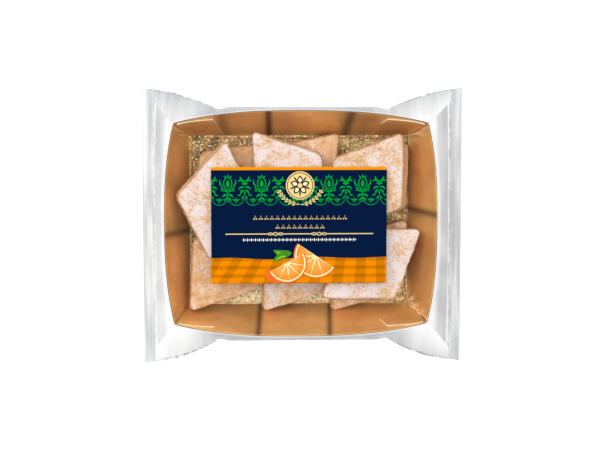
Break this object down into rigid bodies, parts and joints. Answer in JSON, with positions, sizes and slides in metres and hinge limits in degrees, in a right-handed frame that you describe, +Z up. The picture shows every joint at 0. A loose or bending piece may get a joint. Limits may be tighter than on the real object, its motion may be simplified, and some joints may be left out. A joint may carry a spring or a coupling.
{
  "type": "sealed pack of almond biscuits",
  "caption": "Clear flow-wrapped pack with a crimped fin at each end, a flared gold card tray of sugar-dusted lozenge biscuits inside and a printed paper label on top.",
  "frame": {"origin": "middle of the pack's bounding box, on the surface that it lies on", "axes": "+X along the pack towards its right-hand fin as the label reads, +Y towards the label's top edge, +Z up out of the label"},
  "size_m": [0.2134, 0.1844, 0.0348],
  "materials": {
    "clear_film": "thin clear polypropylene film, glossy, drawn tight over the tray and creased at its ends",
    "label_paper": "coated paper label, printed dark blue with a green ornament band, gold lines and an orange check",
    "gold_card": "card tray laminated with gold foil, embossed on its floor, with pale cut edges",
    "biscuit": "baked almond paste, dusted with icing sugar"
  },
  "bodies": {
    "root": {"bag": "clear_film", "label": "label_paper", "tray": "gold_card", "biscuit_lean_left": "biscuit", "biscuit_top_white": "biscuit", "biscuit_top_tan": "biscuit", "biscuit_lean_right": "biscuit", "biscuit_low_left": "biscuit", "biscuit_low_middle": "biscuit", "biscuit_over_right": "biscuit", "biscuit_low_right": "biscuit"}
  },
  "joints": []
}
